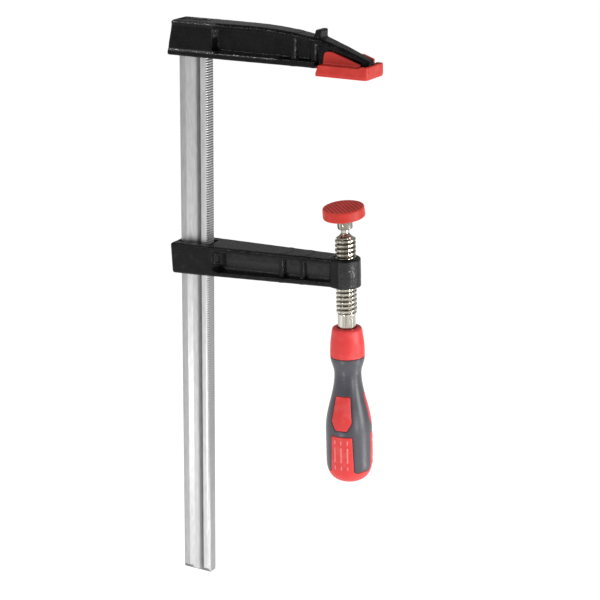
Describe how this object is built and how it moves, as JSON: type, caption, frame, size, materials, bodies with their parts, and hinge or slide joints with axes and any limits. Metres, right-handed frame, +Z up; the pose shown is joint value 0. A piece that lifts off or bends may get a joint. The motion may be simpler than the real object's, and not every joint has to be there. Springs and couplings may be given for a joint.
{
  "type": "f clamp",
  "caption": "F clamp with a profiled steel rail, a fixed jaw with a red cap, a sliding arm, a trapezoidal screw, a swivelling pad and a two-part handle.",
  "frame": {"origin": "centre of the fixed jaw's clamping face, on the plastic cap", "axes": "+Z up along the rail, +X from the rail to the jaw's nose"},
  "size_m": [0.1517, 0.0314, 0.4014],
  "materials": {
    "rail_steel": "drawn and bright plated, with serrated edges",
    "black_casting": "satin black powder coat over a malleable iron casting",
    "cap_plastic": "satin moulded",
    "bright_steel": "bright nickel plate",
    "spring_steel": "plain wire",
    "handle_plastic": "satin gloss moulded",
    "grip_rubber": "matt soft overmould"
  },
  "bodies": {
    "frame": {"rail": "rail_steel", "fixed_jaw": "black_casting", "fixed_jaw_cap": "cap_plastic"},
    "arm": {"sliding_arm": "black_casting"},
    "screw_carrier": {"ball_snap_ring": "spring_steel"},
    "screw": {"spindle": "bright_steel", "handle_core": "handle_plastic", "handle_grip": "grip_rubber"},
    "pad": {"pressure_plate": "bright_steel", "pressure_plate_cap": "cap_plastic"}
  },
  "joints": [
    {"name": "arm_slide", "type": "slide", "parent": "frame", "child": "arm", "axis": [0, 0, 1], "range_m": [-0.22, 0.06]},
    {"name": "spindle_feed", "type": "slide", "parent": "arm", "child": "screw_carrier", "axis": [-0.0419, 0, 0.9991], "range_m": [-0.0175, 0.019]},
    {"name": "spindle_turn", "type": "hinge", "parent": "screw_carrier", "child": "screw", "pos_m": [-0.00064, 0, -0.09826], "axis": [-0.0419, 0, 0.9991], "range_deg": [-2110, 2290]},
    {"name": "pad_tilt", "type": "hinge", "parent": "screw_carrier", "child": "pad", "pos_m": [-0.00064, 0, -0.09826], "axis": [0, 1, 0], "range_deg": [-11, 14]}
  ],
  "couplings": [
    {"joint": "spindle_turn", "follows": "spindle_feed", "rad_per_m": 2094.4}
  ]
}
